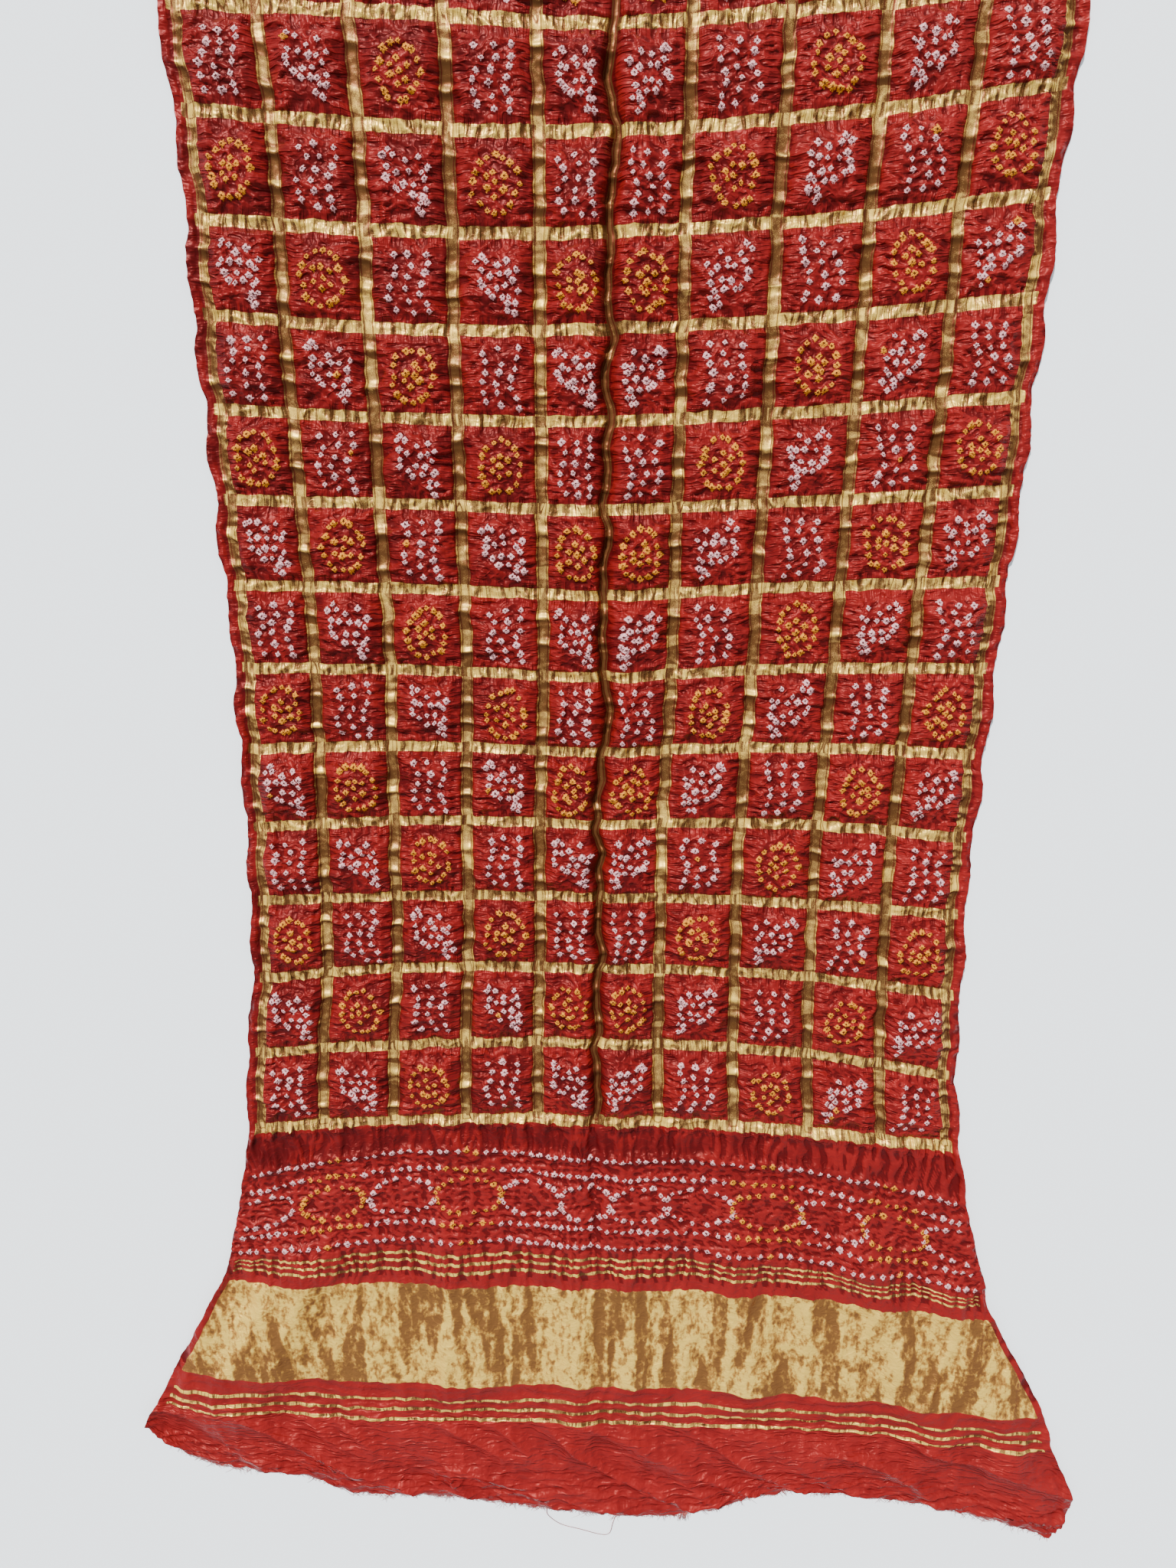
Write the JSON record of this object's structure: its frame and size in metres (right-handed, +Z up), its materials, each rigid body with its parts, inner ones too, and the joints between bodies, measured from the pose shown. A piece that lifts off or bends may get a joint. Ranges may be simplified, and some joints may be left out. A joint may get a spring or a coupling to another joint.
{
  "type": "bandhani cloth",
  "caption": "Tie-dyed red satin wedding cloth with gold checks, puckered dotted motifs and a raw fringed end, laid flat.",
  "frame": {"origin": "bottom centre of the bounding box, on the surface the cloth lies on", "axes": "+Y along the cloth from the raw frayed end to the cut top end, +X across it to the right, +Z up out of the patterned face"},
  "size_m": [1.0054, 1.5913, 0.0155],
  "materials": {
    "satin_silk": "satin with gold-thread stripes and small pale and yellow tie-dyed dots",
    "loose_threads": "matt"
  },
  "bodies": {
    "root": {"cloth": "satin_silk", "frayed_edge": "loose_threads"}
  },
  "joints": []
}
